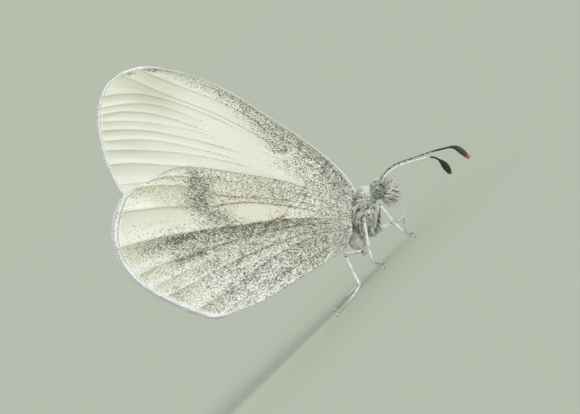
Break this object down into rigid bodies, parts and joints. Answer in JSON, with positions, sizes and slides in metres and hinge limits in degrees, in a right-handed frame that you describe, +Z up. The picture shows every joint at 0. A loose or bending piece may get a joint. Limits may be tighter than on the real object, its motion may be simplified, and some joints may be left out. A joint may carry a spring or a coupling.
{
  "type": "white butterfly",
  "caption": "Life-size white butterfly at rest on its feet, wings closed upright over the back, with grey-dusted undersides, clubbed antennae and a furry body.",
  "frame": {"origin": "on the floor under the centre of the whole butterfly's box", "axes": "+X forward to the head, +Y to the butterfly's left, +Z up"},
  "size_m": [0.026, 0.0076, 0.026],
  "materials": {
    "wing": "matt powdery scales, cream white with grey dusting",
    "hair": "long soft hair, grey white",
    "abdomen": "flat pale scales over a dark skin",
    "eye": "finely faceted, glossy, pale grey green with dark spots",
    "antenna": "ringed black and white",
    "club": "black with an orange tip",
    "horn": "smooth brown horn",
    "leg": "close white scales, dark at the joints",
    "tarsus": "thin white scales over brown, bare brown at the toes"
  },
  "bodies": {
    "root": {"head": "hair", "collar": "hair", "thorax": "hair", "abdomen": "abdomen", "proboscis": "horn", "eye_right": "eye", "palp_right": "hair", "antenna_shaft_right": "antenna", "antenna_club_right": "club", "forewing_right": "wing", "hindwing_right": "wing", "eye_left": "eye", "palp_left": "hair", "antenna_shaft_left": "antenna", "antenna_club_left": "club", "forewing_left": "wing", "hindwing_left": "wing", "foreleg_coxa_right": "leg", "foreleg_femur_right": "leg", "foreleg_tibia_right": "leg", "foreleg_tarsus_right": "tarsus", "foreleg_coxa_left": "leg", "foreleg_femur_left": "leg", "foreleg_tibia_left": "leg", "foreleg_tarsus_left": "tarsus", "midleg_coxa_right": "leg", "midleg_femur_right": "leg", "midleg_tibia_right": "leg", "midleg_tarsus_right": "tarsus", "midleg_coxa_left": "leg", "midleg_femur_left": "leg", "midleg_tibia_left": "leg", "midleg_tarsus_left": "tarsus", "hindleg_coxa_right": "leg", "hindleg_femur_right": "leg", "hindleg_tibia_right": "leg", "hindleg_tarsus_right": "tarsus", "hindleg_coxa_left": "leg", "hindleg_femur_left": "leg", "hindleg_tibia_left": "leg", "hindleg_tarsus_left": "tarsus"}
  },
  "joints": []
}
